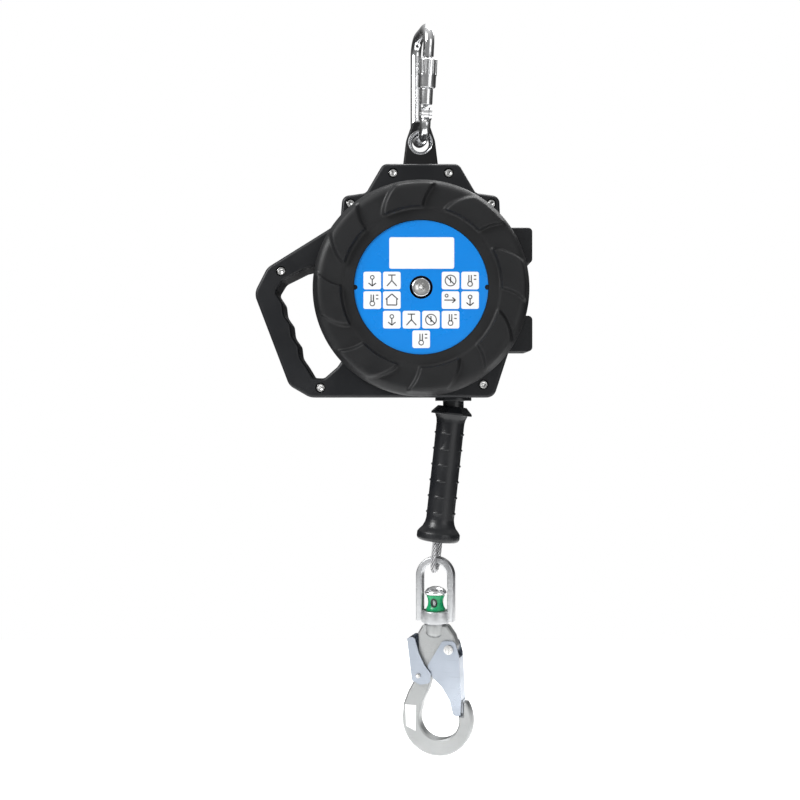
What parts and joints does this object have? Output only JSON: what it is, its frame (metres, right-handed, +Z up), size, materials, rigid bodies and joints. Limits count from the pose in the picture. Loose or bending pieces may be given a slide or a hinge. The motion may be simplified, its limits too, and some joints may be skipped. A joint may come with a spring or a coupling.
{
  "type": "self retracting lifeline",
  "caption": "Self retracting lifeline: black drum housing with carry handle and rubber bumpers, top carabiner, short steel cable lead with grip, swivel and snap hook.",
  "frame": {"origin": "inside of the top carabiner's crown, where the anchor bears", "axes": "+Z up along the load line, -Y towards the label side, +X to the right seen from the label side"},
  "size_m": [0.2521, 0.093, 0.6728],
  "materials": {
    "plated_steel": "bright zinc plated",
    "black_steel": "black painted",
    "black_nylon": "moulded, fine texture",
    "black_rubber": "moulded rubber",
    "label_blue": "printed film",
    "screw_steel": "zinc plated",
    "frame_steel": "plain steel",
    "lining": "friction material",
    "drum_plastic": "cast",
    "bronze": "sintered",
    "bush_plastic": "low friction",
    "cable_steel": "galvanised strand",
    "ferrule_metal": "swaged",
    "forged_steel": "satin zinc plated",
    "indicator_green": "moulded",
    "tag_white": "blank film"
  },
  "bodies": {
    "carabiner": {"carabiner_body": "plated_steel", "carabiner_rivet": "plated_steel"},
    "carabiner_gate": {"carabiner_gate": "plated_steel"},
    "lock_sleeve": {"lock_sleeve": "plated_steel", "lock_ring": "plated_steel"},
    "housing": {"front_casing": "black_nylon", "rear_casing": "black_nylon", "casing_screws": "screw_steel", "upper_foot": "black_nylon", "lower_foot": "black_nylon", "anchor_lug": "black_steel", "eye_bush": "plated_steel", "front_bumper_ring": "black_rubber", "rear_bumper_ring": "black_rubber", "front_cover": "black_nylon", "rear_cover": "black_nylon", "front_label": "label_blue", "front_bolt": "screw_steel", "rear_bolt": "screw_steel", "front_frame_plate": "frame_steel", "rear_frame_plate": "frame_steel", "frame_bolts": "frame_steel", "frame_spacers": "frame_steel", "axle": "frame_steel", "ratchet_ring": "frame_steel", "friction_linings": "lining", "clamp_ring": "frame_steel", "cable_nozzle": "black_nylon", "nozzle_bush": "bush_plastic"},
    "drum": {"drum": "drum_plastic", "wound_cable": "cable_steel", "drum_bushes": "bronze", "power_spring": "frame_steel", "spring_cover": "frame_steel", "pawl_pins": "frame_steel"},
    "pawl_1": {"pawl_1": "frame_steel"},
    "pawl_2": {"pawl_2": "frame_steel"},
    "pawl_3": {"pawl_3": "frame_steel"},
    "lead": {"lead_cable": "cable_steel", "ferrule": "ferrule_metal", "grip": "black_rubber", "grip_collar": "black_rubber"},
    "bow": {"bow": "forged_steel"},
    "hook": {"shank": "forged_steel", "swivel_cap": "forged_steel", "fall_indicator": "indicator_green", "thrust_washer": "forged_steel", "hook_body": "forged_steel", "hook_gate_rivet": "forged_steel", "hook_lever_rivet": "forged_steel", "hook_tag": "tag_white"},
    "hook_gate": {"hook_gate": "forged_steel"},
    "hook_lever": {"hook_lever": "forged_steel"}
  },
  "joints": [
    {"name": "carabiner_gate_hinge", "type": "hinge", "parent": "carabiner", "child": "carabiner_gate", "pos_m": [0.00416, -0.01803, -0.072], "axis": [-0.9744, -0.225, 0], "range_deg": [0, 24], "stiffness_Nm_per_rad": 0.12, "springref_deg": -20.05},
    {"name": "lock_sleeve_twist", "type": "hinge", "parent": "carabiner_gate", "child": "lock_sleeve", "pos_m": [0.00416, -0.01803, -0.072], "axis": [0.0462, -0.2003, 0.9787], "range_deg": [0, 90], "stiffness_Nm_per_rad": 0.02, "springref_deg": -17.19},
    {"name": "housing_swing", "type": "hinge", "parent": "carabiner", "child": "housing", "pos_m": [0, 0, -0.0934], "axis": [0, 1, 0], "range_deg": [-75, 75]},
    {"name": "payout", "type": "slide", "parent": "housing", "child": "lead", "axis": [-0.1079, 0, -0.9942], "range_m": [0, 0.08587], "stiffness_N_per_m": 100, "springref_m": -0.3},
    {"name": "drum_spin", "type": "hinge", "parent": "housing", "child": "drum", "pos_m": [0, 0, -0.23234], "axis": [0, 1, 0], "range_deg": [0, 120.3]},
    {"name": "bow_tilt", "type": "hinge", "parent": "lead", "child": "bow", "pos_m": [0.01416, 0, -0.48175], "axis": [0.9613, -0.2756, 0], "range_deg": [-60, 60]},
    {"name": "hook_swivel", "type": "hinge", "parent": "bow", "child": "hook", "pos_m": [0.01416, 0, -0.53175], "axis": [0, 0, 1], "continuous": true},
    {"name": "hook_gate_hinge", "type": "hinge", "parent": "hook", "child": "hook_gate", "pos_m": [0.028, -0.00397, -0.56335], "axis": [0.2756, 0.9613, 0], "range_deg": [0, 22], "stiffness_Nm_per_rad": 0.3, "springref_deg": -20.05},
    {"name": "hook_lever_hinge", "type": "hinge", "parent": "hook", "child": "hook_lever", "pos_m": [0.0008, 0.00383, -0.58845], "axis": [0.2756, 0.9613, 0], "range_deg": [0, 7], "stiffness_Nm_per_rad": 0.3, "springref_deg": -11.46},
    {"name": "pawl_1_hinge", "type": "hinge", "parent": "drum", "child": "pawl_1", "pos_m": [0, 0, -0.18234], "axis": [0, -1, 0], "range_deg": [0, 20], "stiffness_Nm_per_rad": 0.02, "springref_deg": -22.92},
    {"name": "pawl_2_hinge", "type": "hinge", "parent": "drum", "child": "pawl_2", "pos_m": [-0.0433, 0, -0.25734], "axis": [0, -1, 0], "range_deg": [0, 20], "stiffness_Nm_per_rad": 0.02, "springref_deg": -22.92},
    {"name": "pawl_3_hinge", "type": "hinge", "parent": "drum", "child": "pawl_3", "pos_m": [0.0433, 0, -0.25734], "axis": [0, -1, 0], "range_deg": [0, 20], "stiffness_Nm_per_rad": 0.02, "springref_deg": -22.92}
  ],
  "couplings": [
    {"joint": "drum_spin", "follows": "payout", "rad_per_m": 24.39}
  ]
}
